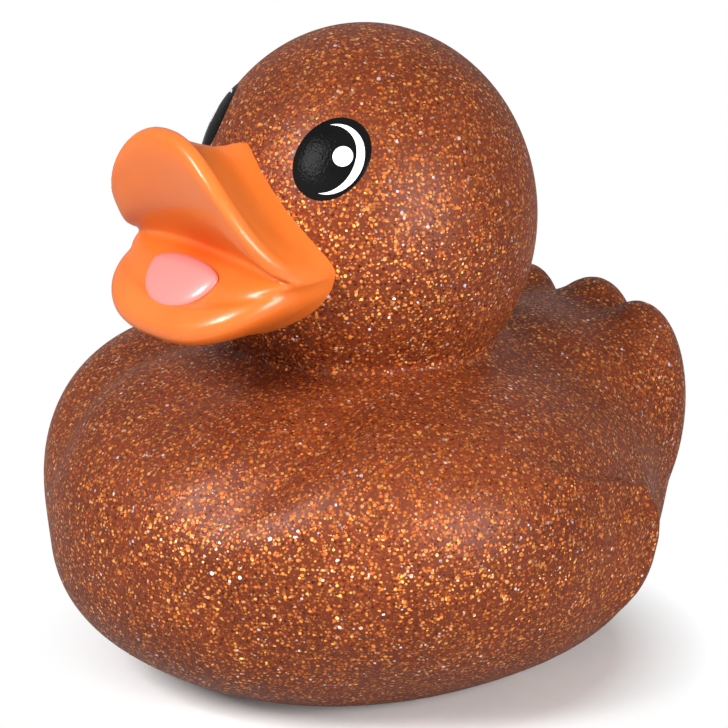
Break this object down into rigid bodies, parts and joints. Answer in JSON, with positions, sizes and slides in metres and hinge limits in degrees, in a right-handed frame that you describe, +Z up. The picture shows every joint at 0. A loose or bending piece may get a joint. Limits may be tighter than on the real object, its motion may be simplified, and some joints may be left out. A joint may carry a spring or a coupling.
{
  "type": "rubber duck",
  "caption": "Hollow moulded vinyl bath duck with an open bill, painted eyes, swollen wings, an upturned tail and a flat foot.",
  "frame": {"origin": "on the surface the duck stands on, midway between its foremost and rearmost points, in its plane of symmetry", "axes": "+Z up out of the foot, -Y where the bill points, +X to the duck's left"},
  "size_m": [0.08, 0.085, 0.0811],
  "materials": {
    "glitter_vinyl": "glossy see-through vinyl full of copper flakes",
    "bill_paint": "glossy orange paint",
    "tongue_paint": "glossy pink paint",
    "eye_black": "thick glossy black paint",
    "eye_white": "glossy white paint"
  },
  "bodies": {
    "root": {"duck": "glitter_vinyl"}
  },
  "joints": []
}
